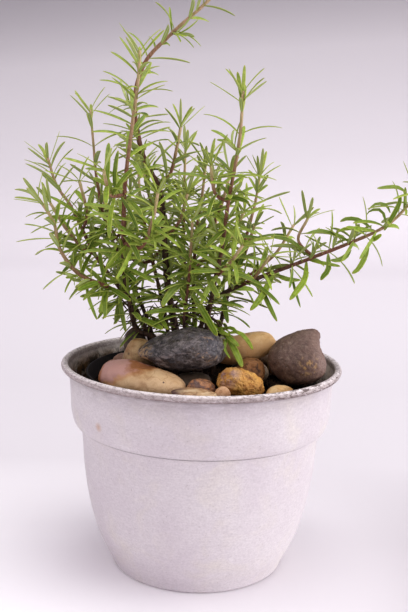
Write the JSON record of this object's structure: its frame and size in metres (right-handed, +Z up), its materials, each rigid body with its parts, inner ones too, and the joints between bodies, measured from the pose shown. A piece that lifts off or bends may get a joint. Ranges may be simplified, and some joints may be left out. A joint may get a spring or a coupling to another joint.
{
  "type": "potted rosemary plant",
  "caption": "Potted rosemary: needle-leaved stems rising from river stones and soil in a flared round metal pot.",
  "frame": {"origin": "centre of the outer pot's flat base, on the surface it stands on", "axes": "+Z up along the pot's axis, -Y towards the viewer of the front, +X to the viewer's right"},
  "size_m": [0.2689, 0.1923, 0.398],
  "materials": {
    "pot_paint": "satin off-white enamel, speckled and worn at the rim",
    "liner_plastic": "matte black, dusted with soil",
    "soil": "crumbly dark compost",
    "bark": "fissured grey-brown bark, reddish and green towards the tips",
    "leaf": "leathery green above, grey-green beneath",
    "stone_dark": "water-worn blue-black stone with pale and rusty veins",
    "stone_tan": "water-worn tan stone",
    "stone_ochre": "rough golden stone with cracks and pits",
    "stone_pink": "water-worn pink and tan stone",
    "stone_brown": "finely mottled brown stone"
  },
  "bodies": {
    "root": {"pot": "pot_paint", "liner_pot": "liner_plastic", "soil": "soil", "stem_front_tall": "leaf", "stem_right_upright": "leaf", "stem_right_low": "leaf", "stem_left": "leaf", "stem_left_back": "leaf", "stem_back_tall": "leaf", "stem_centre": "leaf", "stem_centre_back": "leaf", "stem_back_left": "leaf", "stem_back": "leaf", "stem_back_right": "leaf", "stone_base_middle": "stone_brown", "stone_base_left": "stone_pink", "stone_base_side": "stone_tan", "stone_base_right": "stone_tan", "stone_base_edge": "stone_brown", "stone_pink_tan": "stone_pink", "stone_slab": "stone_tan", "stone_mottled": "stone_pink", "stone_knob": "stone_tan", "stone_ochre": "stone_ochre", "stone_small_tan": "stone_tan", "stone_umber": "stone_brown", "stone_dark": "stone_dark", "stone_oval": "stone_tan", "stone_brown_small": "stone_brown", "stone_long_tan": "stone_tan", "stone_brown": "stone_brown", "stone_back_tan": "stone_tan", "stone_back_left": "stone_pink", "stone_back_grey": "stone_dark", "stone_back_pale": "stone_tan", "stone_back_umber": "stone_brown", "stone_back_right": "stone_tan", "stone_back_small": "stone_brown"}
  },
  "joints": []
}
